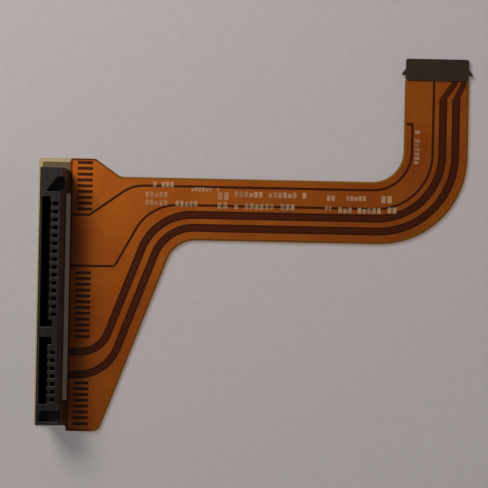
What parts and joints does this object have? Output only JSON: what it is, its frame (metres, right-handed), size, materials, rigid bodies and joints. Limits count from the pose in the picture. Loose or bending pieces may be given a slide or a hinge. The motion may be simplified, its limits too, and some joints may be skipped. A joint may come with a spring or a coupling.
{
  "type": "flat flex cable",
  "caption": "Flat flex cable with a keyed board-mount receptacle on a stiffened, flared end, a right-angle turn and a latched insertion tail.",
  "frame": {"origin": "on the underside of the stiffener board, below the middle of the receptacle housing", "axes": "+X along the strip from the receptacle to the leg, +Y along the leg to the tail's tip, +Z out of the receptacle's mating face"},
  "size_m": [0.0718, 0.0631, 0.0072],
  "materials": {
    "board_laminate": "woven glass and epoxy laminate, bare and slightly glossy, sawn edges",
    "base_film": "amber polyimide film, glossy and translucent",
    "shield_film": "black conductive shielding film, matte, laminated on the underside",
    "copper": "rolled copper foil under the cover film, fine etched edges",
    "cover_film": "amber polyimide cover film laminated over the copper, glossy and translucent, follows the copper",
    "tinned_land": "tin-plated copper land with solder",
    "housing_resin": "black glass-filled connector resin, fine moulded satin",
    "tinned_steel": "tin-plated stamped hold-down",
    "tail_film": "dark brown stiffener film bonded over the tail",
    "plated_contact": "stamped copper alloy, gold flashed",
    "legend_ink": "pale screen-printed ink, plain blocks only"
  },
  "bodies": {
    "root": {"stiffener_board": "board_laminate", "shield_film": "shield_film", "base_film": "base_film", "ground_border": "copper", "supply_plane": "copper", "return_plane": "copper", "guard_strip": "copper", "edge_ground": "copper", "pair_a_outer": "copper", "pair_a_inner": "copper", "pair_b_outer": "copper", "pair_b_inner": "copper", "cover_film": "cover_film", "solder_pads": "tinned_land", "receptacle_housing": "housing_resin", "power_end_hold_down": "tinned_steel", "signal_end_hold_down": "tinned_steel", "tail_stiffener": "tail_film", "tail_contacts": "plated_contact", "legend_marks": "legend_ink", "signal_contact_1": "plated_contact", "signal_contact_2": "plated_contact", "signal_contact_3": "plated_contact", "signal_contact_4": "plated_contact", "signal_contact_5": "plated_contact", "signal_contact_6": "plated_contact", "signal_contact_7": "plated_contact", "power_contact_1": "plated_contact", "power_contact_2": "plated_contact", "power_contact_3": "plated_contact", "power_contact_4": "plated_contact", "power_contact_5": "plated_contact", "power_contact_6": "plated_contact", "power_contact_7": "plated_contact", "power_contact_8": "plated_contact", "power_contact_9": "plated_contact", "power_contact_10": "plated_contact", "power_contact_11": "plated_contact", "power_contact_12": "plated_contact", "power_contact_13": "plated_contact", "power_contact_14": "plated_contact", "power_contact_15": "plated_contact"}
  },
  "joints": []
}
